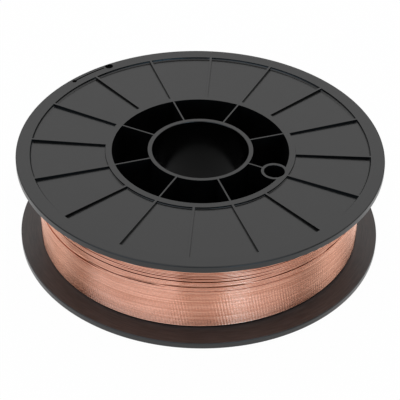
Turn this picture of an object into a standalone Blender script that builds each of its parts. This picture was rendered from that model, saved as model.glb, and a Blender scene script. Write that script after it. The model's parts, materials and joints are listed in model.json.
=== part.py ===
"""Welding wire spool of the 200 mm size: a one-piece ribbed plastic spool, wound with 5 kg of wire.

Units are metres and +Z is up. The spool lies on one flange, its axis is the Z axis, and the
origin is the middle of the rim that it lies on. The drive hole is on the +X side.
"""
import math

import bmesh
import bpy
from mathutils import Matrix

# Overall sizes of the spool
SPOOL_WIDTH = 0.055
FLANGE_DIAMETER = 0.200
BORE_DIAMETER = 0.0524
BARREL_DIAMETER = 0.104

# Flanges: a thin dished web with a raised rim band, the same on both ends
WEB_THICKNESS = 0.00245
RECESS_DEPTH = 0.00135
RIM_BAND_WIDTH = 0.0066
EDGE_ROUND = 0.0006
DISH_DEPTH = 0.0008

# Walls of the barrel and of the hub tube, and the lead-in at the mouths of the bore
BARREL_WALL = 0.0037
HUB_WALL = 0.0027
BORE_LEAD_IN = 0.0005

# Straight ribs on the faces of both flanges, and full-width spokes inside the barrel
RIB_COUNT = 16
RIB_THICKNESS = 0.0012
SPOKE_COUNT = 8
SPOKE_THICKNESS = 0.0010

# Drive hole for the brake pin of the hub, in a tube that stands on one of the spokes
DRIVE_HOLE_DIAMETER = 0.011
DRIVE_HOLE_OFFSET = 0.044
DRIVE_TUBE_WALL = 0.0018

# Wire lock in the rim of the upper flange: an entry hole, a groove and an exit hole
LOCK_EDGE_DISTANCE = 0.0027
LOCK_ENTRY_DIAMETER = 0.0044
LOCK_EXIT_DIAMETER = 0.0026
LOCK_ENTRY_ANGLE = math.radians(150)
LOCK_EXIT_ANGLE = math.radians(165)
LOCK_GROOVE_WIDTH = 0.0009
LOCK_GROOVE_DEPTH = 0.0012
LOCK_LAND = 0.0010

# Winding: full layers, and one unfinished layer that ends part of the way down
WINDING_DIAMETER = 0.1776
WIRE_DIAMETER = 0.0008
LAST_LAYER_END = 0.0293
CLEARANCE = 0.0003

# Facets around a turn, in a small hole and in the quarter round of an edge
TURN_STEPS = 96
HOLE_STEPS = 24
TUBE_STEPS = 32
ROUND_STEPS = 3
GROOVE_STEPS = 8
SMOOTH_ANGLE = math.radians(30)
WELD_DISTANCE = 0.000001

# Length by which a cutter runs out past the end of the spool. What a cutter leaves standing
# runs two or three times as far, so that it parts the cutter right through.
OVERRUN = 0.002

# Sizes that follow from those above
FLANGE_RADIUS = FLANGE_DIAMETER / 2
BARREL_RADIUS = BARREL_DIAMETER / 2
BORE_RADIUS = BORE_DIAMETER / 2
BARREL_BORE_RADIUS = BARREL_RADIUS - BARREL_WALL
HUB_RADIUS = BORE_RADIUS + HUB_WALL
RIM_INNER_RADIUS = FLANGE_RADIUS - RIM_BAND_WIDTH
RIM_HEIGHT = WEB_THICKNESS + RECESS_DEPTH
HUB_TOP = SPOOL_WIDTH - DISH_DEPTH
LOCK_RADIUS = FLANGE_RADIUS - LOCK_EDGE_DISTANCE

PLASTIC_COLOUR = (0.062, 0.062, 0.064, 1.0)
PLASTIC_ROUGHNESS = 0.45
COPPER_COLOUR = (0.64, 0.33, 0.24, 1.0)
COPPER_ROUGHNESS = 0.3


def clear_scene():
    """Remove whatever objects the open scene holds."""
    for item in list(bpy.data.objects):
        bpy.data.objects.remove(item, do_unlink=True)


def new_collection(name):
    """Make a collection in the scene."""
    collection = bpy.data.collections.new(name)
    bpy.context.scene.collection.children.link(collection)
    return collection


def new_object(name, mesh, collection):
    """Put a mesh into the scene as an object."""
    item = bpy.data.objects.new(name, mesh)
    collection.objects.link(item)
    return item


def new_material(name, colour, roughness, metallic):
    """Make a Principled material and hand it back."""
    material = bpy.data.materials.new(name)
    material.use_nodes = True
    shader = material.node_tree.nodes["Principled BSDF"]
    shader.inputs["Base Color"].default_value = colour
    shader.inputs["Roughness"].default_value = roughness
    shader.inputs["Metallic"].default_value = metallic
    material.diffuse_color = colour
    return material


def evaluated_mesh(item):
    """Give the mesh that an object shows once its modifiers, or its curve, are worked out."""
    bpy.context.view_layer.update()
    graph = bpy.context.evaluated_depsgraph_get()
    return bpy.data.meshes.new_from_object(item.evaluated_get(graph), depsgraph=graph)


def turned(name, outline, collection):
    """Turn a closed outline of (radius, height) points about the Z axis.

    The outline runs outwards along its top, down its outer side and back along its underside.
    """
    count = len(outline)
    points = [(radius, 0.0, height) for radius, height in outline]
    edges = [(index, (index + 1) % count) for index in range(count)]
    mesh = bpy.data.meshes.new(name)
    mesh.from_pydata(points, edges, [])
    item = new_object(name, mesh, collection)
    screw = item.modifiers.new("Turn", "SCREW")
    screw.axis = "Z"
    screw.steps = TURN_STEPS
    screw.render_steps = TURN_STEPS
    screw.use_merge_vertices = True
    screw.merge_threshold = WELD_DISTANCE
    return item


def plate(name, outline, thickness, middle, collection):
    """Fill a flat outline of (x, y) points and thicken it evenly about a middle height."""
    curve = bpy.data.curves.new(name, "CURVE")
    curve.dimensions = "2D"
    curve.fill_mode = "BOTH"
    curve.extrude = thickness / 2
    spline = curve.splines.new("POLY")
    spline.points.add(len(outline) - 1)
    for point, (x, y) in zip(spline.points, outline):
        point.co = (x, y, 0.0, 1.0)
    spline.use_cyclic_u = True
    guide = new_object(name, curve, collection)
    mesh = evaluated_mesh(guide)
    bpy.data.objects.remove(guide)
    bpy.data.curves.remove(curve)
    form = bmesh.new()
    form.from_mesh(mesh)
    bmesh.ops.remove_doubles(form, verts=form.verts, dist=WELD_DISTANCE)
    bmesh.ops.recalc_face_normals(form, faces=form.faces)
    bmesh.ops.translate(form, verts=form.verts, vec=(0.0, 0.0, middle))
    form.to_mesh(mesh)
    form.free()
    return new_object(name, mesh, collection)


def radial_walls(name, count, thickness, inner, outer, overrun, collection):
    """Plain walls between two radii, even turns apart, that run past both ends of the spool."""
    length = outer - inner
    height = SPOOL_WIDTH + 2 * overrun
    size = Matrix.Diagonal((length, thickness, height, 1.0))
    place = Matrix.Translation(((inner + outer) / 2, 0.0, SPOOL_WIDTH / 2))
    form = bmesh.new()
    for index in range(count):
        turn = Matrix.Rotation(2 * math.pi * index / count, 4, "Z")
        bmesh.ops.create_cube(form, size=1.0, matrix=turn @ place @ size)
    mesh = bpy.data.meshes.new(name)
    form.to_mesh(mesh)
    form.free()
    return new_object(name, mesh, collection)


def round_bar(name, diameter, low, high, centre, steps, collection):
    """Stand a plain cylinder between two heights on a point (x, y)."""
    form = bmesh.new()
    bmesh.ops.create_cone(
        form,
        cap_ends=True,
        segments=steps,
        radius1=diameter / 2,
        radius2=diameter / 2,
        depth=high - low,
        matrix=Matrix.Translation((centre[0], centre[1], (low + high) / 2)),
    )
    mesh = bpy.data.meshes.new(name)
    form.to_mesh(mesh)
    form.free()
    return new_object(name, mesh, collection)


def cut(item, collection):
    """Cut everything in a collection out of an object."""
    modifier = item.modifiers.new("Cut", "BOOLEAN")
    modifier.operation = "DIFFERENCE"
    modifier.operand_type = "COLLECTION"
    modifier.collection = collection
    modifier.solver = "EXACT"


def hide_guides(collection):
    """Show the shapes of a collection as wire only, and keep them out of renders."""
    for item in collection.objects:
        item.hide_render = True
        item.display_type = "WIRE"


def finish(item, material):
    """Fix an object's modifiers in its mesh, shade it and give it its material."""
    mesh = evaluated_mesh(item)
    mesh.name = item.name
    item.modifiers.clear()
    item.data = mesh
    mesh.materials.clear()
    mesh.materials.append(material)
    mesh.shade_smooth()
    mesh.set_sharp_from_angle(angle=SMOOTH_ANGLE)


def on_circle(radius, angle):
    """Give the point (x, y) at an angle on a circle about the origin."""
    return radius * math.cos(angle), radius * math.sin(angle)


def mirrored(outline):
    """Turn an outline of the upper flange upside down, so that it serves the lower one."""
    return [(radius, SPOOL_WIDTH - height) for radius, height in reversed(outline)]


def quarter_round(centre, start):
    """Points of a clockwise quarter round of an edge, from a start angle, both ends included."""
    points = []
    for step in range(ROUND_STEPS + 1):
        angle = start - math.pi / 2 * step / ROUND_STEPS
        x, y = on_circle(EDGE_ROUND, angle)
        points.append((centre[0] + x, centre[1] + y))
    return points


def winding_face(radius):
    """Height of the face of the upper flange that the wire lies against, at a radius."""
    slope = DISH_DEPTH / (RIM_INNER_RADIUS - BARREL_RADIUS)
    dish = max(0.0, RIM_INNER_RADIUS - radius) * slope
    return SPOOL_WIDTH - RIM_HEIGHT - dish


def body_outline():
    """Section of the spool as if it were solid, from the bore out to the rim and back.

    The end face is flat over the hub and rises over the ribs to the rim, so the face that is
    left between the recesses makes the tops of the ribs.
    """
    round_radius = FLANGE_RADIUS - EDGE_ROUND
    upper = [
        (BORE_RADIUS, HUB_TOP - BORE_LEAD_IN),
        (BORE_RADIUS + BORE_LEAD_IN, HUB_TOP),
        (BARREL_RADIUS, HUB_TOP),
        (RIM_INNER_RADIUS, SPOOL_WIDTH),
    ]
    upper += quarter_round((round_radius, SPOOL_WIDTH - EDGE_ROUND), math.pi / 2)
    upper += quarter_round((round_radius, SPOOL_WIDTH - RIM_HEIGHT + EDGE_ROUND), 0.0)
    upper += [
        (RIM_INNER_RADIUS, winding_face(RIM_INNER_RADIUS)),
        (BARREL_RADIUS, winding_face(BARREL_RADIUS)),
    ]
    return upper + mirrored(upper)


def recess_outline():
    """Section of the recess in the upper flange: its floor is the dished web."""
    high = SPOOL_WIDTH + OVERRUN
    return [
        (BARREL_RADIUS, high),
        (RIM_INNER_RADIUS, high),
        (RIM_INNER_RADIUS, SPOOL_WIDTH - RECESS_DEPTH),
        (BARREL_RADIUS, HUB_TOP - RECESS_DEPTH),
    ]


def cell_outline():
    """Section of the open space between the hub tube and the barrel."""
    upper = [(HUB_RADIUS, SPOOL_WIDTH + OVERRUN), (BARREL_BORE_RADIUS, SPOOL_WIDTH + OVERRUN)]
    return upper + mirrored(upper)


def add_recesses(ribs, cutters):
    """Cutters of the recesses in both flanges, parted by the ribs that stay."""
    radial_walls(
        "ribs",
        RIB_COUNT,
        RIB_THICKNESS,
        BARREL_BORE_RADIUS,
        RIM_INNER_RADIUS + RIM_BAND_WIDTH / 2,
        2 * OVERRUN,
        ribs,
    )
    for name, outline in (
        ("upper_recesses", recess_outline()),
        ("lower_recesses", mirrored(recess_outline())),
    ):
        cut(turned(name, outline, cutters), ribs)


def add_cells(spokes, cutters):
    """Cutter of the open cells, parted by the spokes and by the tube of the drive hole."""
    tube_diameter = DRIVE_HOLE_DIAMETER + 2 * DRIVE_TUBE_WALL
    radial_walls(
        "spokes",
        SPOKE_COUNT,
        SPOKE_THICKNESS,
        HUB_RADIUS - HUB_WALL / 2,
        BARREL_RADIUS,
        2 * OVERRUN,
        spokes,
    )
    low = -3 * OVERRUN
    high = SPOOL_WIDTH + 3 * OVERRUN
    round_bar("drive_tube", tube_diameter, low, high, (DRIVE_HOLE_OFFSET, 0.0), TUBE_STEPS, spokes)
    cut(turned("cells", cell_outline(), cutters), spokes)


def add_drive_hole(cutters):
    """Cutter of the drive hole, right through the spool."""
    low = -OVERRUN
    high = SPOOL_WIDTH + OVERRUN
    centre = (DRIVE_HOLE_OFFSET, 0.0)
    round_bar("drive_hole", DRIVE_HOLE_DIAMETER, low, high, centre, HOLE_STEPS, cutters)


def add_lock_hole(name, diameter, angle, cutters):
    """Cutter of one hole of the wire lock, through the rim of the upper flange only."""
    low = SPOOL_WIDTH - RIM_HEIGHT - OVERRUN
    high = SPOOL_WIDTH + OVERRUN
    round_bar(name, diameter, low, high, on_circle(LOCK_RADIUS, angle), HOLE_STEPS, cutters)


def lock_groove_outline():
    """Plan of the groove: a curved slot from the exit hole to just short of the entry hole."""
    start = LOCK_ENTRY_ANGLE + (LOCK_ENTRY_DIAMETER / 2 + LOCK_LAND) / LOCK_RADIUS
    sides = []
    for radius in (LOCK_RADIUS + LOCK_GROOVE_WIDTH / 2, LOCK_RADIUS - LOCK_GROOVE_WIDTH / 2):
        steps = range(GROOVE_STEPS + 1)
        angles = [start + (LOCK_EXIT_ANGLE - start) * step / GROOVE_STEPS for step in steps]
        sides.append([on_circle(radius, angle) for angle in angles])
    return sides[0] + sides[1][::-1]


def add_wire_lock(cutters):
    """Cutters of the wire lock: two holes through the rim and the groove between them."""
    add_lock_hole("lock_entry", LOCK_ENTRY_DIAMETER, LOCK_ENTRY_ANGLE, cutters)
    add_lock_hole("lock_exit", LOCK_EXIT_DIAMETER, LOCK_EXIT_ANGLE, cutters)
    plate("lock_groove", lock_groove_outline(), 2 * LOCK_GROOVE_DEPTH, SPOOL_WIDTH, cutters)


def make_spool(parts):
    """The plastic spool: one turned moulding with its recesses, cells and holes cut out."""
    cutters = new_collection("spool_cutters")
    ribs = new_collection("ribs_left_between_recesses")
    spokes = new_collection("spokes_left_between_cells")
    spool = turned("spool", body_outline(), parts)
    add_recesses(ribs, cutters)
    add_cells(spokes, cutters)
    add_drive_hole(cutters)
    add_wire_lock(cutters)
    cut(spool, cutters)
    finish(spool, new_material("black_plastic", PLASTIC_COLOUR, PLASTIC_ROUGHNESS, 0.0))
    for guides in (cutters, ribs, spokes):
        hide_guides(guides)


def winding_outline():
    """Section of the wound wire, clear of the barrel and of both flanges."""
    inner = BARREL_RADIUS + CLEARANCE
    full = WINDING_DIAMETER / 2
    last = full + WIRE_DIAMETER * math.sin(math.pi / 3)
    return [
        (inner, winding_face(inner) - CLEARANCE),
        (last, winding_face(last) - CLEARANCE),
        (last, LAST_LAYER_END),
        (full, LAST_LAYER_END),
        (full, SPOOL_WIDTH - winding_face(full) + CLEARANCE),
        (inner, SPOOL_WIDTH - winding_face(inner) + CLEARANCE),
    ]


def make_winding(parts):
    """The wound wire as one turned ring."""
    winding = turned("wire_winding", winding_outline(), parts)
    finish(winding, new_material("coppered_steel", COPPER_COLOUR, COPPER_ROUGHNESS, 1.0))


def main():
    clear_scene()
    parts = new_collection("welding_wire_spool")
    make_spool(parts)
    make_winding(parts)


main()
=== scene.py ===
# %% [markdown]
# # A spool of welding wire
#
# The object is a 5 kg spool of copper-coated steel wire for MIG welding. It has two pieces: a black
# plastic spool, moulded in one shot, and about 1.3 km of 0.8 mm wire wound on it in tidy layers.
# The frame gives both at their real size. This lesson gives them the surface of the real thing: the
# moulding gets the small rounded edges that a mould leaves, and the winding gets its single turns.

import json
import math

import bpy
import numpy as np
from mathutils import Matrix, Vector

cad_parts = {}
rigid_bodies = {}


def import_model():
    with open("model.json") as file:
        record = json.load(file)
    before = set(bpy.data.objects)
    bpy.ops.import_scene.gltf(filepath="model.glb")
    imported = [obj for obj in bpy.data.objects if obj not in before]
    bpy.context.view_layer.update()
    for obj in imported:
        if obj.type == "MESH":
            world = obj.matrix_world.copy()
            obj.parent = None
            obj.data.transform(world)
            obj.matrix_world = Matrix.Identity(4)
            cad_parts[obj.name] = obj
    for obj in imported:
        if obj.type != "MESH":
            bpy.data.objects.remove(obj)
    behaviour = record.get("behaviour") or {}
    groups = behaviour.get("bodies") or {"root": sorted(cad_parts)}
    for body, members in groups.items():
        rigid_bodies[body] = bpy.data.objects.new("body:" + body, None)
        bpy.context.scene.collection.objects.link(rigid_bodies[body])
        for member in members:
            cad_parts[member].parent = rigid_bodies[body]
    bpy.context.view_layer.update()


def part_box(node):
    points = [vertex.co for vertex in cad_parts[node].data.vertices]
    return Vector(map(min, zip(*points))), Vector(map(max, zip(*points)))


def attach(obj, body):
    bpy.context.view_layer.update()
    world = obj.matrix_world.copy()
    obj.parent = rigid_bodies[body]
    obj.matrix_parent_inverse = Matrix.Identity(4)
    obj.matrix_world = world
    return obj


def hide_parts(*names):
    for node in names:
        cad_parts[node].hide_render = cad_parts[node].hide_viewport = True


MM = 0.001

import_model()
spool_low, spool_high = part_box("spool")
wire_low, wire_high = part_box("wire_winding")
print("spool", [round(v / MM, 2) for v in spool_high - spool_low], "mm")
print("winding", [round(v / MM, 2) for v in wire_high - wire_low], "mm")

# %% [markdown]
# ## One skin for every shape
#
# Each shape here is a grid of points: rows run one way over the surface, columns the other. Four
# neighbours make a face, whose normal is the row direction crossed with the column direction. So a
# turned body, a swept cutter and a wire all need only one function that turns a grid into a mesh.
# Faces listed by hand would do the same, but they would hide the formula of the shape.

# %% Grid to mesh
def skin(name, points, wrap_rows=False, caps=False):
    """Skin a grid of points, shape (rows, columns, 3); its columns always close into a loop.

    wrap_rows joins the last row to the first. caps fills the first and the last row.
    """
    rows, columns = points.shape[:2]
    index = np.arange(rows * columns).reshape(rows, columns)
    looped = np.hstack([index, index[:, :1]])
    if wrap_rows:
        looped = np.vstack([looped, looped[:1]])
    corners = [looped[:-1, :-1], looped[1:, :-1], looped[1:, 1:], looped[:-1, 1:]]
    faces = np.stack(corners, axis=-1).reshape(-1, 4).tolist()
    if caps:
        faces += [index[0].tolist(), index[-1][::-1].tolist()]
    mesh = bpy.data.meshes.new(name)
    mesh.from_pydata(points.reshape(-1, 3).tolist(), [], faces)
    item = bpy.data.objects.new(name, mesh)
    bpy.context.scene.collection.objects.link(item)
    return item


def full_turn(steps):
    """The angles of a full turn in even steps, as one row."""
    return np.linspace(0, 2 * math.pi, steps, endpoint=False)[None, :]


def around(radius, angle, height):
    """Points at a radius, an angle about the axis and a height, for arrays of any matching shape."""
    radius, angle, height = np.broadcast_arrays(radius, angle, height)
    return np.stack([radius * np.cos(angle), radius * np.sin(angle), height], axis=-1)


# %% [markdown]
# ## The section of the spool
#
# The barrel, the two dished flanges and their flat rims are a turned body. It could be put together
# from discs and tubes, but one section turned round the axis leaves no seams. The overall sizes come
# from the frame, and the walls are named here in millimetres, as they are on the real spool. The
# flanges are dished, so the ends of the hub lie a little below the rims, and only the rims touch the
# bench.
#
# A moulded edge is never quite sharp. The section is written as its corners, each with the radius
# that rounds it, and the arc between the two straight sides is worked out: it touches each side at
# radius / tan(half the corner's angle) from the corner, and its centre lies on the bisector.

# %% Rounded outline
ARC_STEPS = 6


def rounded(corners):
    """Outline of (x, y) points from corners (x, y, radius), each corner replaced by its arc."""
    xy = np.array([corner[:2] for corner in corners])
    radius = np.array([corner[2] for corner in corners])
    before = np.roll(xy, 1, axis=0) - xy
    after = np.roll(xy, -1, axis=0) - xy
    before /= np.linalg.norm(before, axis=1)[:, None]
    after /= np.linalg.norm(after, axis=1)[:, None]
    half = np.arccos(np.clip((before * after).sum(1), -1, 1)) / 2
    bisector = before + after
    bisector /= np.maximum(np.linalg.norm(bisector, axis=1), 1e-12)[:, None]
    centre = xy + bisector * (radius / np.sin(half))[:, None]
    outline = []
    for i in range(len(corners)):
        if radius[i] == 0:
            outline.append(xy[i])
            continue
        foot = radius[i] / math.tan(half[i])
        start = xy[i] + before[i] * foot - centre[i]
        end = xy[i] + after[i] * foot - centre[i]
        sweep = math.atan2(start[0] * end[1] - start[1] * end[0], start @ end)
        turn = np.linspace(0, sweep, ARC_STEPS + 1)
        arc = np.stack([np.cos(turn) * start[0] - np.sin(turn) * start[1],
                        np.sin(turn) * start[0] + np.cos(turn) * start[1]], axis=-1)
        outline.extend(centre[i] + arc)
    return np.array(outline)


# %% Section
FLANGE_R = spool_high.x
WIDTH = spool_high.z
BORE_R = 26.2 * MM
BARREL_R = 52.0 * MM
RIM_R = FLANGE_R - 7.6 * MM
RIM_H = 3.8 * MM
DISH = 0.8 * MM
HUB_TOP = WIDTH - DISH
# how far each kind of corner is rounded
RIM_EDGE = 0.7 * MM
BACK_EDGE = 0.5 * MM
LEAD_IN = 0.5 * MM
ROOT = 1.0 * MM


def upside_down(corners):
    """The corners of the upper flange, turned over for the lower one."""
    return [(r, WIDTH - z, rounding) for r, z, rounding in reversed(corners)]


upper_corners = [
    (BORE_R, HUB_TOP, LEAD_IN),
    (BARREL_R, HUB_TOP, 0.0),
    (RIM_R, WIDTH, 0.0),
    (FLANGE_R, WIDTH, RIM_EDGE),
    (FLANGE_R, WIDTH - RIM_H, BACK_EDGE),
    (RIM_R, WIDTH - RIM_H, 0.0),
    (BARREL_R, WIDTH - RIM_H - DISH, ROOT),
]
section = rounded(upper_corners + upside_down(upper_corners))
print("the section has", len(section), "points")
print("the hub tube is", round((HUB_TOP - DISH) / MM, 2), "mm long")

# %% [markdown]
# ## Tools for cutting
#
# The mould's core pins leave hollows in the turned body, so the hollows are modelled as cutters.
# Every cutter is swept: a small section carried round the axis, or a circle carried along it. The
# sides of a recess lie along its two ribs. A rib is as thick at the rim as at the hub, so its side
# lies at an angle of arcsin(half thickness / radius) from the rib's middle, which shrinks as the
# radius grows.

# %% Cutters
PAST = 2.0 * MM


def swept_sector(name, radii, heights, wall, share, turn, steps):
    """A section of corners (radius, height) swept between two straight walls, share of a turn apart.

    At each corner's radius the sweep runs evenly from one wall to the other.
    """
    radii = np.asarray(radii)[None, :]
    heights = np.asarray(heights)[None, :]
    side = np.arcsin(wall / 2 / radii)
    angles = turn + side + (share - 2 * side) * np.linspace(0, 1, steps + 1)[:, None]
    return skin(name, around(radii, angles, heights), caps=True)


def bar(name, outline, centre, steps):
    """A round bar along Z, turned from (diameter, height) rows that run down its side."""
    diameters, heights = np.array(outline).T[:, :, None]
    points = around(diameters / 2, full_turn(steps), heights)
    return skin(name, points + np.array([centre[0], centre[1], 0.0]), caps=True)


def gather(items, name):
    """Move objects to a collection of their own."""
    collection = bpy.data.collections.new(name)
    bpy.context.scene.collection.children.link(collection)
    for item in items:
        bpy.context.scene.collection.objects.unlink(item)
        collection.objects.link(item)
    return collection


def cut(item, collection):
    """Cut a collection's shapes out of an object."""
    modifier = item.modifiers.new("Cut", "BOOLEAN")
    modifier.operation = "DIFFERENCE"
    modifier.operand_type = "COLLECTION"
    modifier.collection = collection
    modifier.solver = "EXACT"


# %% [markdown]
# ## Recesses
#
# Thick plastic sinks as it cools, so a moulder hollows a flange out and leaves thin ribs. Each flange
# has sixteen shallow recesses between its rim and the ring round the barrel. All of them are the
# same section, swept from rib to rib, with a wide fillet at the rim and a small one at the ring. The
# floor lies RECESS below the rim at its outer end and RING_STEP below the ring at its inner end.

# %% Recesses
TURN_STEPS = 320
RIBS = 16
RIB_T = 1.2 * MM
SECTOR_STEPS = TURN_STEPS // RIBS
RECESS = 1.35 * MM
RING_R = 51.7 * MM
RING_STEP = 1.05 * MM
RIM_FILLET = 1.1 * MM
RING_FILLET = 0.4 * MM

upper_recess = [
    (RING_R, WIDTH + PAST, 0.0),
    (RIM_R, WIDTH + PAST, 0.0),
    (RIM_R, WIDTH - RECESS, RIM_FILLET),
    (RING_R, HUB_TOP - RING_STEP, RING_FILLET),
]
rib_share = 2 * math.pi / RIBS
cutters = []
for side, corners in (("upper", upper_recess), ("lower", upside_down(upper_recess))):
    radii, heights = rounded(corners)[::-1].T
    for k in range(RIBS):
        name = f"{side}_recess_{k}"
        turn = k * rib_share
        cutters.append(swept_sector(name, radii, heights, RIB_T, rib_share, turn, SECTOR_STEPS))
print(len(cutters), "recesses")

# %% [markdown]
# ## Open cells
#
# The hub tube hangs in the barrel on eight thin spokes, and the cells between them run right through
# the spool. The tube round the drive hole stands where one spoke would cross it, so that tube is
# first cut out of the two cells beside it, and is left standing when they are cut from the body.

# %% Cells
HUB_R = 28.7 * MM
CELL_R = 48.3 * MM
SPOKES = 8
SPOKE_T = 0.85 * MM
DRIVE_R = 44.0 * MM
DRIVE_TUBE = 14.3 * MM
TUBE_STEPS = 64

tube_outline = [(DRIVE_TUBE, WIDTH + 2 * PAST), (DRIVE_TUBE, -2 * PAST)]
tube = gather([bar("tube_left_standing", tube_outline, (DRIVE_R, 0.0), TUBE_STEPS)], "tube")
spoke_share = 2 * math.pi / SPOKES
cell_radii = (HUB_R, CELL_R, CELL_R, HUB_R)
cell_heights = (-PAST, -PAST, WIDTH + PAST, WIDTH + PAST)
for k in range(SPOKES):
    turn = k * spoke_share
    cell = swept_sector(
        f"cell_{k}", cell_radii, cell_heights, SPOKE_T, spoke_share, turn, 2 * SECTOR_STEPS)
    if k in (0, SPOKES - 1):
        cut(cell, tube)
    cutters.append(cell)
print(SPOKES, "cells")

# %% [markdown]
# ## Drive hole and wire lock
#
# The feeder's drive pin enters the drive hole, whose two mouths are chamfered. In the upper rim is
# the wire lock: the end of the wire comes up through the wide hole, bends along a groove and goes
# down through the narrow one. The wide hole tapers from LOCK_ENTRY to LOCK_FOOT, which helps to
# guide the wire.

# %% Drive hole
DRIVE_HOLE = 11.0 * MM
HOLE_STEPS = 48
MOUTH = 0.2 * MM

mouth = DRIVE_HOLE + 2 * MOUTH
drive_outline = [
    (mouth, WIDTH + PAST),
    (mouth, HUB_TOP),
    (DRIVE_HOLE, HUB_TOP - MOUTH),
    (DRIVE_HOLE, DISH + MOUTH),
    (mouth, DISH),
    (mouth, -PAST),
]
cutters.append(bar("drive_hole", drive_outline, (DRIVE_R, 0.0), HOLE_STEPS))
print("the drive hole is", round(DRIVE_HOLE / MM, 1), "mm wide")

# %% Wire lock
LOCK_R = FLANGE_R - 2.7 * MM
LOCK_ENTRY = 4.8 * MM
LOCK_FOOT = 3.4 * MM
LOCK_EXIT = 2.6 * MM
LOCK_ENTRY_ANGLE = math.radians(150)
LOCK_EXIT_ANGLE = math.radians(165)
LOCK_STEPS = 32
GROOVE_W = 0.9 * MM
GROOVE_D = 1.2 * MM
GROOVE_LAND = 1.0 * MM
GROOVE_STEPS = 16


def on_circle(radius, angle):
    """The point (x, y) at an angle on a circle about the axis."""
    return radius * math.cos(angle), radius * math.sin(angle)


rim_back = WIDTH - RIM_H
for name, top, bottom, angle in (("lock_entry", LOCK_ENTRY, LOCK_FOOT, LOCK_ENTRY_ANGLE),
                                 ("lock_exit", LOCK_EXIT, LOCK_EXIT, LOCK_EXIT_ANGLE)):
    outline = [(top, WIDTH + PAST), (top, WIDTH), (bottom, rim_back), (bottom, rim_back - PAST)]
    cutters.append(bar(name, outline, on_circle(LOCK_R, angle), LOCK_STEPS))
groove_start = LOCK_ENTRY_ANGLE + (LOCK_ENTRY / 2 + GROOVE_LAND) / LOCK_R
groove_angles = np.linspace(groove_start, LOCK_EXIT_ANGLE, GROOVE_STEPS + 1)[:, None]
groove_radii = LOCK_R + GROOVE_W / 2 * np.array([[-1, 1, 1, -1]])
groove_heights = WIDTH + np.array([[-GROOVE_D, -GROOVE_D, PAST, PAST]])
cutters.append(skin("lock_groove", around(groove_radii, groove_angles, groove_heights), caps=True))
print(len(cutters), "cutters in all")

# %% [markdown]
# ## The moulding
#
# After the cut, a Bevel rounds every edge that is left, both the proud ones and the inner corners,
# as the mould does. Weighted normals keep the large flat faces flat up to the small rounds. The
# modifiers are then fixed in the mesh.

# %% Helpers for finished meshes
def fixed(item):
    """Fix an object's modifiers in its mesh."""
    bpy.context.view_layer.update()
    graph = bpy.context.evaluated_depsgraph_get()
    mesh = bpy.data.meshes.new_from_object(item.evaluated_get(graph), depsgraph=graph)
    item.modifiers.clear()
    item.data = mesh


def triangles(item):
    """How many triangles a mesh has."""
    return sum(len(face.vertices) - 2 for face in item.data.polygons)


# %% Cut and round the moulding
EDGE_ROUND = 0.14 * MM
EDGE_ANGLE = math.radians(32)

# row i, column j is the section's point i turned by j steps; on top, the section runs outwards
surface = around(section[:, :1], full_turn(TURN_STEPS), section[:, 1:])
moulding = skin("spool_moulding", surface, wrap_rows=True)
cut(moulding, gather(cutters, "cutters"))
bevel = moulding.modifiers.new("Edges", "BEVEL")
bevel.width = EDGE_ROUND
bevel.segments = 2
bevel.limit_method = "ANGLE"
bevel.angle_limit = EDGE_ANGLE
bevel.use_clamp_overlap = True
fixed(moulding)
moulding.data.shade_smooth()
weighted = moulding.modifiers.new("Flat faces", "WEIGHTED_NORMAL")
weighted.keep_sharp = False
weighted.weight = 100
fixed(moulding)
for item in cutters + list(tube.objects):
    bpy.data.objects.remove(item)
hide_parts("spool")
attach(moulding, "root")
print("the moulding has", triangles(moulding), "triangles")

# %% [markdown]
# ## The wire
#
# The winding is one long wire. Full layers fill the spool up to a smooth cylinder, and one more
# layer lies on top of them from the upper flange down to about mid height. Only the two outermost
# layers show, so they are real turns, and what is under them is a plain core whose surface and ends
# are scalloped like turns. A turn is a circle of the wire's radius carried along a helix.
#
# A layer lies in the hollows of the one below it. Three touching wires make a triangle of equal
# sides, so a layer adds a wire's width times the sine of 60 degrees.

# %% Sizes of the winding
WIRE_R = 0.4 * MM
LAYER = 2 * WIRE_R * math.sin(math.pi / 3)
LAST_R = wire_high.x
FULL_R = LAST_R - LAYER
BARREL_GAP = 0.3 * MM
CORE_R = BARREL_R + BARREL_GAP
# above this height the core fills in for the layer under the last, which is hidden there
CORE_STEP = 31.6 * MM
WIRE_LOW = wire_low.z
WIRE_HIGH = wire_high.z


def flange_height(radius):
    """Height of the top of the winding at a radius: a straight line that rises with the dished flange."""
    share = (radius - CORE_R) / (LAST_R - CORE_R)
    core_height = WIRE_HIGH - DISH * (LAST_R - CORE_R) / (RIM_R - BARREL_R)
    return core_height + share * (WIRE_HIGH - core_height)


print("a layer is", round(LAYER / MM, 3), "mm thick")
print("beside the barrel the winding ends at", round(flange_height(CORE_R) / MM, 2), "mm")

# %% [markdown]
# ### Lines on the winding
#
# The turns aren't laid quite level: on one side of the spool the lower ones climb away from the
# flange. Such a line round the spool is a short table of angles and heights, in degrees and
# millimetres, read between its rows by straight pieces that close into a loop. A wavy formula would
# be shorter, but the lines of a real winding follow no formula.

# %% Lines
CLIMB = [(-126, 0.0), (-104, 0.1), (-64, 0.6), (-34, 1.1), (-4, 1.7), (60, 1.2), (150, 0.2)]


def line(table, angle):
    """The height at an angle, from a closed table of (degrees, millimetres)."""
    degrees, value = np.array(table).T
    return np.interp(np.degrees(angle), degrees, value, period=360) * MM


def climbed(angle, height):
    """Lift a height by the climb: in full at the lower flange, and not at all at the core's step."""
    share = np.clip((CORE_STEP - height) / (CORE_STEP - WIRE_LOW), 0, 1)
    return height + line(CLIMB, angle) * share


def smooth_step(x):
    """0 below 0, 1 above 1, and 3 x squared - 2 x cubed between."""
    x = np.clip(x, 0, 1)
    return x * x * (3 - 2 * x)


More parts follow.
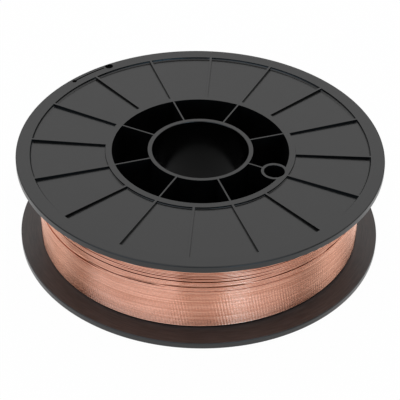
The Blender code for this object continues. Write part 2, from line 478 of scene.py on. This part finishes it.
# %% [markdown]
# ### The core under the turns
#
# Seen in section, a stack of wires is a row of arcs. The height along the section is split into
# pitches, and within one pitch the surface falls from its crest by radius - sqrt(radius squared -
# offset squared). The same row of arcs runs along the outside and along both ends.

# %% Scalloped sides
POINTS_PER_TURN = 4


def scallops(length):
    """Distances along a side, and how far each lies below the crest of its turn."""
    count = max(1, round(length / (2 * WIRE_R)))
    offset = (np.arange(POINTS_PER_TURN) + 0.5) / POINTS_PER_TURN - 0.5
    along = (np.arange(count)[:, None] + 0.5 + offset[None, :]).ravel() * length / count
    fall = np.tile(WIRE_R - np.sqrt(WIRE_R ** 2 - (offset * 2 * WIRE_R) ** 2), count)
    return along, fall


def scalloped_side(start, end):
    """A straight side of the section from start to end, scalloped into the solid on its right."""
    start, end = np.asarray(start), np.asarray(end)
    length = np.linalg.norm(end - start)
    direction = (end - start) / length
    inwards = np.array([direction[1], -direction[0]])
    along, fall = scallops(length)
    return start + along[:, None] * direction + fall[:, None] * inwards


# %% Core
CORE_STEPS = 160

under_r = FULL_R - LAYER
core_corners = [
    (CORE_R, flange_height(CORE_R)),
    (FULL_R, flange_height(FULL_R)),
    (FULL_R, CORE_STEP),
    (under_r, CORE_STEP),
    (under_r, WIDTH - flange_height(under_r)),
    (CORE_R, WIDTH - flange_height(CORE_R)),
]
# the short floor of the step, from FULL_R in to under_r, is hidden by the turns and stays plain
core_outline = np.vstack([
    scalloped_side(core_corners[0], core_corners[1]),
    scalloped_side(core_corners[1], core_corners[2]),
    scalloped_side(core_corners[3], core_corners[4]),
    scalloped_side(core_corners[4], core_corners[5]),
])
core_heights = climbed(full_turn(CORE_STEPS), core_outline[:, 1:])
surface = around(core_outline[:, :1], full_turn(CORE_STEPS), core_heights)
core = skin("wire_core", surface, wrap_rows=True)
core.data.shade_smooth()
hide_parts("wire_winding")
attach(core, "root")
print("the core has", triangles(core), "triangles")

# %% [markdown]
# ### One wire
#
# A wire is a tube about a centre line that goes round and round, one pitch lower each turn. It
# starts and ends at the back of the spool, where its ends don't show. Real turns wander by some
# hundredths of a millimetre, because the guide that lays them is never perfect. The wander is a sum
# of a few slow waves over angle and height, so that neighbours wander together.

# %% Wire
SIDES = 8
STEPS_PER_TURN = 320
PITCH = 2 * WIRE_R + 0.005 * MM
BACK = math.radians(120)
WAVES = 6
WANDER_UP = 0.05 * MM
WANDER_OUT = 0.02 * MM


def wander(angle, height, size, seed):
    """A few slow waves over angle and height, adding up to about the given size.

    Each goes round one to six times, and up by 60 to 420 radians a metre.
    """
    waves = np.random.default_rng(seed)
    total = np.zeros_like(angle)
    for _ in range(WAVES):
        round_count = waves.integers(1, 7)
        height_count = waves.uniform(60, 420)
        phase = waves.uniform(0, 2 * math.pi)
        total += np.sin(round_count * angle + height_count * height + phase)
    return size * total / WAVES


def wire(name, turns, radius, lay, seed):
    """A wire of the given number of turns: a circle of the wire's radius about its centre line.

    lay is a function of the turn and the angle that gives the centre line's height, and how far it
    lies inside the given radius.
    """
    turn = np.linspace(0, turns, int(turns * STEPS_PER_TURN) + 1)
    angle = BACK + 2 * math.pi * turn
    height, inside = lay(turn, angle)
    height = height + wander(angle, height, WANDER_UP, seed)
    centre_r = radius - WIRE_R - inside + wander(angle, 3 * height, WANDER_OUT, seed + 1)
    radii = centre_r[:, None] + WIRE_R * np.cos(full_turn(SIDES))
    heights = height[:, None] + WIRE_R * np.sin(full_turn(SIDES))
    item = skin(name, around(radii, angle[:, None], heights), caps=True)
    item.data.shade_smooth()
    item.data.attributes.new("along", "FLOAT", "POINT")
    along = np.repeat(angle * radius, SIDES).astype(np.float32)
    item.data.attributes["along"].data.foreach_set("value", along)
    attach(item, "root")
    print(name, "has", triangles(item), "triangles")
    return item


# %% [markdown]
# ### The layer under the last
#
# Below mid height this layer is the one that shows. Its turns are stacked up from the lower flange,
# with the climb, and a gap is left just under the last turn of the layer on top: whatever lies above
# the gap's line is lifted by the gap's width, over a short way, so that no turn is torn.

# %% Layer under the last
SPREAD = 0.3 * MM
# the height of the last layer's lowest turn
LAYER_END = [
    (-119, 28.9), (-102, 29.2), (-74, 29.5), (-34, 29.8), (-14, 30.3), (-6, 30.8), (-2, 31.2),
    (60, 31.0), (150, 29.6),
]
END_GAP = 0.55 * MM
END_GAP_BELOW = 0.7 * MM

lowest = WIDTH - flange_height(FULL_R) + WIRE_R
full_turns = math.floor((CORE_STEP - WIRE_R - lowest) / PITCH)


def lay_full(turn, angle):
    """Turns stacked on the lower flange, with the climb and the gap under the end of the last layer."""
    height = climbed(angle, lowest + PITCH * (full_turns - turn))
    gap_line = line(LAYER_END, angle) - END_GAP_BELOW
    return height + END_GAP * smooth_step((height - gap_line) / SPREAD + 0.5), 0.0


outer_turns = wire("wire_outer_turns", full_turns, FULL_R, lay_full, 11)

# %% [markdown]
# ### The last layer and the crossing
#
# The last layer is laid from the upper flange down. Here and there the guide leaves a gap, which
# shows as a dark line that runs round the spool: whatever lies below its line is pushed down by its
# width. Each gap is two tables, the line's height and the gap's width.
#
# The last turns of all are stacked up from the end of the layer. That end climbs on its way round,
# so they meet the others at a slant. There the wires of both sets dive under: their radius falls by
# one layer over a short way past the line where they meet, so that neither set ends in the air.

# %% Gaps and crossing
GAPS = [
    ([(-45, 40.9), (-30, 41.1), (100, 41.0)],
     [(-60, 0.0), (-40, 0.15), (-20, 0.05), (150, 0.0)]),
    ([(-74, 39.9), (-44, 40.3), (100, 40.0)],
     [(-95, 0.0), (-74, 0.12), (-35, 0.12), (0, 0.0)]),
    ([(-104, 39.2), (-94, 38.7), (-84, 38.4), (-54, 38.3), (-34, 37.6), (-10, 37.5), (100, 38.6)],
     [(-120, 0.25), (-94, 0.5), (-54, 0.5), (-34, 0.15), (0, 0.2), (100, 0.25)]),
    ([(-116, 36.2), (-84, 35.9), (-50, 35.9), (-19, 35.4), (100, 35.8)],
     [(-125, 0.4), (-110, 0.6), (-50, 0.6), (-36, 0.15), (0, 0.2), (100, 0.25)]),
]
CROSSING = [
    (-126, 30.7), (-104, 30.9), (-89, 31.5), (-79, 32.0), (-69, 32.4), (-54, 32.6), (-39, 33.2),
    (-19, 33.5), (-6, 34.1), (60, 33.6), (150, 31.8),
]
CROSSING_GAP = [
    (-170, 0.7), (-126, 0.75), (-104, 0.6), (-54, 0.55), (-50, 0.2), (-44, 0.2), (-38, 0.5),
    (0, 0.6), (120, 0.5),
]
CROSSING_TURNS = 5
LAST_LAYER_LOW = 30.5 * MM
ALL_GAPS = 1.0 * MM


def lay_last(turn, angle):
    """Turns from the upper flange down, opened at the gaps, which dive under at the crossing."""
    height = flange_height(LAST_R) - WIRE_R - PITCH * turn
    for middle, width in GAPS:
        gap = line(width, angle)
        height = height - gap * smooth_step((line(middle, angle) + gap / 2 - height) / SPREAD + 0.5)
    edge = line(CROSSING, angle) + line(CROSSING_GAP, angle) / 2 + WIRE_R
    return height, LAYER * smooth_step((edge - height) / SPREAD)


def lay_crossing(turn, angle):
    """The last turns, stacked up from the end of the layer, which dive under at the crossing."""
    height = line(LAYER_END, angle) + PITCH * (CROSSING_TURNS - turn)
    edge = line(CROSSING, angle) - line(CROSSING_GAP, angle) / 2 - WIRE_R
    return height, LAYER * smooth_step((height - edge) / SPREAD)


# the turns fill the room above the layer's lowest height, less what all the gaps take
last_turns = math.floor((flange_height(LAST_R) - LAST_LAYER_LOW - WIRE_R - ALL_GAPS) / PITCH)
last_layer = wire("wire_last_layer", last_turns, LAST_R, lay_last, 23)
crossing_turns = wire("wire_last_turns", CROSSING_TURNS, LAST_R, lay_crossing, 37)

# %% [markdown]
# ## Shader maths as expressions
#
# A material is a small sum: a noise, times a strength, plus a base. Written as nodes and links it
# takes ten lines, so one class wraps a socket and gives it Python's operators. Numbers become the
# values of the sockets. Colours go through Mix nodes, because a Math node turns a colour grey.

# %% Socket class
class Socket:
    """One output of a shader node, with arithmetic that adds the nodes for it."""

    def __init__(self, tree, output):
        self.tree = tree
        self.output = output

    def __add__(self, other):
        return maths("ADD", self, other)

    def __radd__(self, other):
        return maths("ADD", other, self)

    def __sub__(self, other):
        return maths("SUBTRACT", self, other)

    def __rsub__(self, other):
        return maths("SUBTRACT", other, self)

    def __mul__(self, other):
        return maths("MULTIPLY", self, other)

    def __rmul__(self, other):
        return maths("MULTIPLY", other, self)

    def above(self, low, high):
        """0 up to low, 1 from high on, and a smooth rise between."""
        values = {"Value": self, "From Min": low, "From Max": high}
        return node(self.tree, "ShaderNodeMapRange", {"interpolation_type": "SMOOTHSTEP"}, values)


def feed(tree, made, values):
    """Set or link a node's sockets, given by their names or places."""
    for key, value in values.items():
        if isinstance(value, Socket):
            tree.links.new(value.output, made.inputs[key])
        else:
            made.inputs[key].default_value = value


def node(tree, kind, settings=None, values=None, output=0):
    """Add a node, set it up, fill its sockets with values or links, and hand back one output."""
    made = tree.nodes.new(kind)
    for key, value in (settings or {}).items():
        setattr(made, key, value)
    feed(tree, made, values or {})
    return Socket(tree, made.outputs[output])


def maths(operation, *values):
    """A Math node on some values, in the tree of the first one that is a socket."""
    tree = next(value.tree for value in values if isinstance(value, Socket))
    return node(tree, "ShaderNodeMath", {"operation": operation}, dict(enumerate(values)))


# %% [markdown]
# ### Helpers for both materials
#
# Both materials follow the spool's roundness, so they need the distance from its axis and the angle
# about it. Object coordinates give them, because every piece has its origin on the axis.

# %% Material helpers
def split(vector):
    """The three parts of a vector."""
    first = node(vector.tree, "ShaderNodeSeparateXYZ", None, {0: vector})
    return [Socket(vector.tree, part) for part in first.output.node.outputs]


def object_place(tree):
    """A point's place in the object's own coordinates, in metres."""
    return node(tree, "ShaderNodeTexCoord", output="Object")


def polar(place):
    """Distance from the spool's axis, angle about it in radians, and height."""
    x, y, height = split(place)
    return maths("SQRT", x * x + y * y), maths("ARCTAN2", y, x), height


def noise(place, scale, detail):
    """Cloudy noise about 0.5, with scale clouds to a unit of place, and detail finer copies in it."""
    values = {"Vector": place, "Scale": scale, "Detail": detail}
    return node(place.tree, "ShaderNodeTexNoise", None, values)


def mix_colour(factor, first, second):
    """Blend two colours, from the first at factor 0 to the second at factor 1.

    Mix has sockets for each kind of value. Those for colours are 6 and 7, and the result is output 2.
    """
    values = {0: factor, 6: first, 7: second}
    return node(factor.tree, "ShaderNodeMix", {"data_type": "RGBA"}, values, output=2)


def bumped(height, strength, distance):
    """A normal tilted by a height from 0 to 1 that stands for a distance in metres."""
    values = {"Strength": strength, "Distance": distance, "Height": height}
    return node(height.tree, "ShaderNodeBump", None, values)


def new_material(name):
    """A material with its Principled shader, and the tree that holds it."""
    material = bpy.data.materials.new(name)
    material.use_nodes = True
    return material, material.node_tree, material.node_tree.nodes["Principled BSDF"]


def wear(item, material):
    """Give an object its one material."""
    item.data.materials.clear()
    item.data.materials.append(material)
    print(item.name, "wears", material.name, "of", len(material.node_tree.nodes), "nodes")


# %% [markdown]
# ## Black plastic
#
# The spool is moulded from black polystyrene. Almost no light comes back out of it, so what is seen
# is its thin gloss: a grey veil where it mirrors a white wall, and black where it mirrors itself.
# The steel mould has a fine spark-eroded grain, which the plastic takes over as a bump far smaller
# than a millimetre, and handling leaves it a little more polished in some places than in others.

# %% Plastic, as moulded
BLACK = (0.0010, 0.0010, 0.0011, 1)
HANDLED_BLACK = (0.0024, 0.0023, 0.0023, 1)
GRAIN_SCALE = 2600.0
GRAIN_DEPTH = 0.04 * MM
HANDLED_SCALE = 90.0
POLYSTYRENE_IOR = 1.55

plastic, tree, shader = new_material("black_plastic")
place = object_place(tree)
grain = noise(place, GRAIN_SCALE, 2.0)
handled = noise(place, HANDLED_SCALE, 4.0)
tone = mix_colour(handled.above(0.35, 0.7), BLACK, HANDLED_BLACK)
rough = 0.30 + 0.05 * (handled - 0.5) + 0.04 * (grain - 0.5)

# %% [markdown]
# ### Painted copper reflection on the flanges, and the polished bore
#
# On the faces beside the winding, dull brownish rings are painted in: a painted reflection of the copper
# and painted light from it, strongest at the winding's foot. Rings are noise that is stretched round
# the axis: it reads the distance from the axis finely and the angle coarsely. The pin that moulds the
# bore is polished, so the bore is smoother; its colour is painted blacker, which is painted shade.

# %% Plastic, with painted copper reflection and painted shade
# the brownish tone is a painted reflection of the copper on the flange faces, with painted light from it
COPPER_REFLECTION_TONE = (0.080, 0.057, 0.050, 1)
# the bore's colour, darker than the rest of the plastic: painted shade
BORE_PAINTED_SHADE = (0.0002, 0.0002, 0.0002, 1)
RINGS_PER_METRE = 1500.0
SMEARS_PER_RADIAN = 9.0
FADE = 0.2 * MM
BARREL_FADE = 0.5 * MM
FOOT_R = 88 * MM
FOOT_END_R = 92 * MM

radius, angle, height = polar(place)
ring_place = {0: radius * RINGS_PER_METRE, 1: angle * SMEARS_PER_RADIAN}
ring_streaks = noise(node(tree, "ShaderNodeCombineXYZ", None, ring_place), 1.0, 3.0)
between_flanges = height.above(RIM_H - FADE, RIM_H) * (1 - height.above(rim_back, rim_back + FADE))
winding_side = between_flanges * radius.above(BARREL_R - BARREL_FADE, BARREL_R)
foot = 1 - radius.above(FOOT_R, FOOT_END_R)
# how much painted copper reflection is laid on: more on the rings, most of all at the winding's foot
painted_reflection_share = 0.32 + 0.36 * ring_streaks.above(0.3, 0.7) + 0.5 * foot
bore_wall = 1 - radius.above(BORE_R + 0.1 * MM, BORE_R + 0.5 * MM)
tone = mix_colour(winding_side * painted_reflection_share, tone, COPPER_REFLECTION_TONE)
# the bore wall is painted darker, as painted shade
tone = mix_colour(bore_wall, tone, BORE_PAINTED_SHADE)
rough = rough + winding_side * (0.2 * ring_streaks) - 0.14 * bore_wall
feed(tree, shader, {
    "Base Color": tone,
    "Roughness": rough,
    "Normal": bumped(grain, 0.25, GRAIN_DEPTH),
    "IOR": POLYSTYRENE_IOR,
})
wear(moulding, plastic)

# %% [markdown]
# ## Copper-coated wire
#
# The wire is steel with a copper coat under a thousandth of a millimetre thick, drawn bright through
# a die. The die leaves fine scratches along the wire, so the noise is stretched along it. The coat
# differs a little from turn to turn. Each turn also bends slightly where it crosses the wires under
# it, every 1.6 mm or so, which shows as fine upright ripples in the bright bands of the lower part.
# The ripple tilts the normal, and it also lightens and darkens the colour a little: a painted glint.
# The gaps between turns are painted darker, as painted shade: what lies deeper than about half a
# millimetre under the outside is in a gap.

# %% Copper
DULL_COPPER = (0.74, 0.35, 0.235, 1)
BRIGHT_COPPER = (0.94, 0.51, 0.37, 1)
# the colour painted into the gaps between turns, as painted shade
GAP_SHADE_COPPER = (0.20, 0.075, 0.04, 1)
# fineness of each pattern in units of noise per metre; the ripples are counted per turn
STREAKS_ALONG = 30.0
STREAKS_ACROSS = 9000.0
CLOUD_SCALE = 60.0
TURN_CHANGES = 2.2
PATCH_SCALE = 25.0
RIPPLES = 350
RIPPLE_SLANT = 700.0
RIPPLE_SIZE = 0.014 * MM
RIPPLES_FADE = 18 * MM
LAST_LAYER_FOOT = 29.5 * MM
LAST_LAYER_FULL = 31 * MM
# depths under the outside over which the painted gap shade comes in
GAP_SHADE_FROM = 0.35 * MM
GAP_SHADE_FULL = 0.65 * MM


def copper_material(name, along_wire):
    """Bright drawn copper. along_wire is a function of the tree that gives the place along the wire."""
    material, tree, shader = new_material(name)
    place = object_place(tree)
    radius, angle, height = polar(place)
    along = along_wire(tree)
    streak_place = {0: along * STREAKS_ALONG, 1: height * STREAKS_ACROSS}
    streak = noise(node(tree, "ShaderNodeCombineXYZ", None, streak_place), 1.0, 3.0)
    cloud = noise(place, CLOUD_SCALE, 3.0)
    turn_place = {"W": along * TURN_CHANGES, "Detail": 2.0}
    turn_by_turn = node(tree, "ShaderNodeTexNoise", {"noise_dimensions": "1D"}, turn_place)
    patch = noise(place, PATCH_SCALE, 0.0)
    low_down = 1 - height.above(RIPPLES_FADE, LAST_LAYER_FULL)
    phase = angle * RIPPLES + height * RIPPLE_SLANT
    ripple = maths("SINE", phase) * (low_down * (0.65 + 0.35 * patch.above(0.35, 0.6)))
    # the ripple's share of this sum is a painted glint in the colour; the bump gives the real tilt
    shine = 0.35 * streak + 0.25 * cloud + 0.4 * turn_by_turn + 0.035 * ripple
    tone = mix_colour(shine.above(0.36, 0.64), DULL_COPPER, BRIGHT_COPPER)
    # the deeper a point lies in a gap, the darker it is painted: painted shade
    depth = FULL_R + LAYER * height.above(LAST_LAYER_FOOT, LAST_LAYER_FULL) - radius
    tone = mix_colour(0.6 * depth.above(GAP_SHADE_FROM, GAP_SHADE_FULL), tone, GAP_SHADE_COPPER)
    feed(tree, shader, {
        "Base Color": tone,
        "Metallic": 1.0,
        "Roughness": 0.05 + 0.08 * streak,
        "Normal": bumped(ripple, 1.0, RIPPLE_SIZE),
    })
    return material


def along_attribute(tree):
    """Length along the wire in metres, as stored in its mesh."""
    return node(tree, "ShaderNodeAttribute", {"attribute_name": "along"}, output="Fac")


def along_axis(tree):
    """Length round the core, near enough, from its x coordinate."""
    return split(object_place(tree))[0]


wire_copper = copper_material("drawn_copper", along_attribute)
for item in (outer_turns, last_layer, crossing_turns):
    wear(item, wire_copper)
wear(core, copper_material("drawn_copper_core", along_axis))

# %% [markdown]
# ## Camera
#
# The camera stands about 0.8 m away and looks down at the spool by 38 degrees. Its place and lens
# were fitted to the outlines of the two flanges. The spool's own frame has +X towards the drive
# hole, so the camera is turned with it, about the axis.

# %% Camera
CAMERA_TURN = math.radians(25.65)
CAMERA_BACK = 0.6133
CAMERA_UP = 0.4944
CAMERA_PITCH = math.radians(37.787)
CAMERA_YAW = math.radians(0.029)
CAMERA_ROLL = math.radians(1.191)
FOCAL_PIXELS = 1386.5
IMAGE_PIXELS = 400
SENSOR_MM = 36

forward = Vector((math.sin(CAMERA_YAW) * math.cos(CAMERA_PITCH),
                  math.cos(CAMERA_YAW) * math.cos(CAMERA_PITCH),
                  -math.sin(CAMERA_PITCH)))
right = forward.cross(Vector((0, 0, 1))).normalized()
up = right.cross(forward)
rolled_right = right * math.cos(CAMERA_ROLL) + up * math.sin(CAMERA_ROLL)
rolled_up = up * math.cos(CAMERA_ROLL) - right * math.sin(CAMERA_ROLL)
turned = Matrix((rolled_right, rolled_up, -forward)).transposed().to_4x4()
stand = Matrix.Translation((0, -CAMERA_BACK, CAMERA_UP))
camera = bpy.data.objects.new("camera", bpy.data.cameras.new("camera"))
bpy.context.scene.collection.objects.link(camera)
camera.matrix_world = Matrix.Rotation(CAMERA_TURN, 4, "Z") @ stand @ turned
camera.data.sensor_width = SENSOR_MM
camera.data.lens = FOCAL_PIXELS / IMAGE_PIXELS * SENSOR_MM
camera.data.clip_start = 0.01
bpy.context.scene.camera = camera
bpy.context.scene.view_settings.view_transform = "Standard"
print("lens", round(camera.data.lens, 1), "mm")

# %% [markdown]
# ## Floor
#
# The spool lies on a white sweep. The floor is matt and pale. Where a camera, glossy or transmission
# ray meets it beyond the spool's foot, it glows at strength 1, almost in full, so that it renders
# white while it sends no more light to the object. Under the spool and in its bore the floor keeps
# its own shading, and with it the shadow.

# %% Floor
FLOOR_STEPS = 96
FLOOR_R = 3.0
FLOOR_TONE = (0.9, 0.9, 0.9, 1)
GLOW_SHARE = 0.98

floor_radii = np.array([[0.0], [FLANGE_R], [3 * FLANGE_R], [FLOOR_R]])
floor = skin("floor", around(floor_radii, full_turn(FLOOR_STEPS), 0.0))
white, tree, shader = new_material("white_floor")
feed(tree, shader, {"Base Color": FLOOR_TONE, "Roughness": 0.9, "Specular IOR Level": 0.0})
seen = node(tree, "ShaderNodeLightPath", output="Is Camera Ray")
for ray in ("Is Glossy Ray", "Is Transmission Ray"):
    seen = maths("MAXIMUM", seen, node(tree, "ShaderNodeLightPath", output=ray))
x, y, _ = split(object_place(tree))
outside = (x * x + y * y).above(0.9 * FLANGE_R ** 2, FLANGE_R ** 2)
glow = node(tree, "ShaderNodeEmission", None, {"Color": (1, 1, 1, 1), "Strength": 1.0})
matt = Socket(tree, shader.outputs[0])
blend = node(tree, "ShaderNodeMixShader", None, {0: seen * outside * GLOW_SHARE, 1: matt, 2: glow})
feed(tree, tree.nodes["Material Output"], {"Surface": blend})
wear(floor, white)

# %% [markdown]
# ## Studio
#
# Dark shiny things are lit by what they mirror: the white wall behind them gives the plastic its
# grey, the dark room in front keeps its edges crisp, and two cool soft boxes, left and right of the
# camera, make the bright bands on the wire. The room could be built from lamps, but a panel in the
# world's own colour is simpler, and a mirror sees it at its exact angle.
#
# A panel is a row of angles in degrees: the azimuth of its middle, where 90 is behind the spool and
# -90 is the camera's side, half its width, its lower and upper edge, then its radiance, and how soft
# its sides and its two edges are.

# %% Panels
DEGREES = 180 / math.pi
WALLS = [
    (75, 85, 12, 28.5, 0.42, 9, 4),
    (85, 80, 28.5, 50, 1.21, 9, 4),
    (90, 75, 28.5, 36, 0.12, 9, 4),
    (-90, 110, 50, 70, 1.71, 15, 5),
    (90, 70, 50, 70, 0.9, 15, 5),
    (160, 40, -5, 12, 0.45, 9, 4),
    (-2, 26, -5, 12, 0.08, 9, 4),
]
CEILING = 0.7
SOFT_BOXES = [
    (-133, 30, -5, 12, 0.60, 3, 4),
    (-133, 30, 12, 50, 0.74, 3, 4),
    (-65, 10, -5, 12, 2.3, 7, 4),
    (-50, 20, 12, 50, 0.55, 8, 4),
    (-93, 12, -5, 12, 0.6, 6, 4),
]

world = bpy.data.worlds.new("studio")
bpy.context.scene.world = world
world.use_nodes = True
tree = world.node_tree
direction = node(tree, "ShaderNodeTexCoord", output="Generated")
turned_back = node(tree, "ShaderNodeVectorRotate", {"rotation_type": "Z_AXIS"},
                   {"Vector": direction, "Angle": -CAMERA_TURN})
x, y, z = split(turned_back)
azimuth = maths("ARCTAN2", y, x) * DEGREES
climb = maths("ARCSINE", z) * DEGREES


def between(value, low, high, soft):
    """1 between two values, 0 outside them, with a soft change at both."""
    return value.above(low - soft, low + soft) * (1 - value.above(high - soft, high + soft))


def panel(middle, half, low, high, radiance, soft_sides, soft_edges):
    """A pale panel in the room, from a row of the tables above."""
    away = maths("WRAP", azimuth - middle, 180.0, -180.0)
    return between(away, -half, half, soft_sides) * between(climb, low, high, soft_edges) * radiance


walls = sum(panel(*row) for row in WALLS) + climb.above(65, 75) * CEILING
boxes = sum(panel(*row) for row in SOFT_BOXES)
print(len(WALLS), "wall panels and", len(SOFT_BOXES), "soft box panels")

# %% [markdown]
# ### The light's colour
#
# The walls are neutral and the boxes are cool, the brightest strip most of all, which pales the
# copper where it mirrors them. Seen from behind, the plastic mirrors them too and looks a little
# blue. Past the floor's edge a camera ray sees plain white.

# %% World
NEUTRAL = (1, 1, 1, 1)
COOL = (0.87, 1.12, 1.36, 1)
COOLEST = (0.8, 1.7, 2.4, 1)

colour = mix_colour(boxes.above(0.0, 0.5), NEUTRAL, COOL)
colour = mix_colour(boxes.above(0.8, 2.0), colour, COOLEST)
camera_ray = node(tree, "ShaderNodeLightPath", output="Is Camera Ray")
brightness = maths("MAXIMUM", walls + boxes, camera_ray)
feed(tree, tree.nodes["Background"], {"Color": colour, "Strength": brightness})
print("the studio has", len(tree.nodes), "nodes")
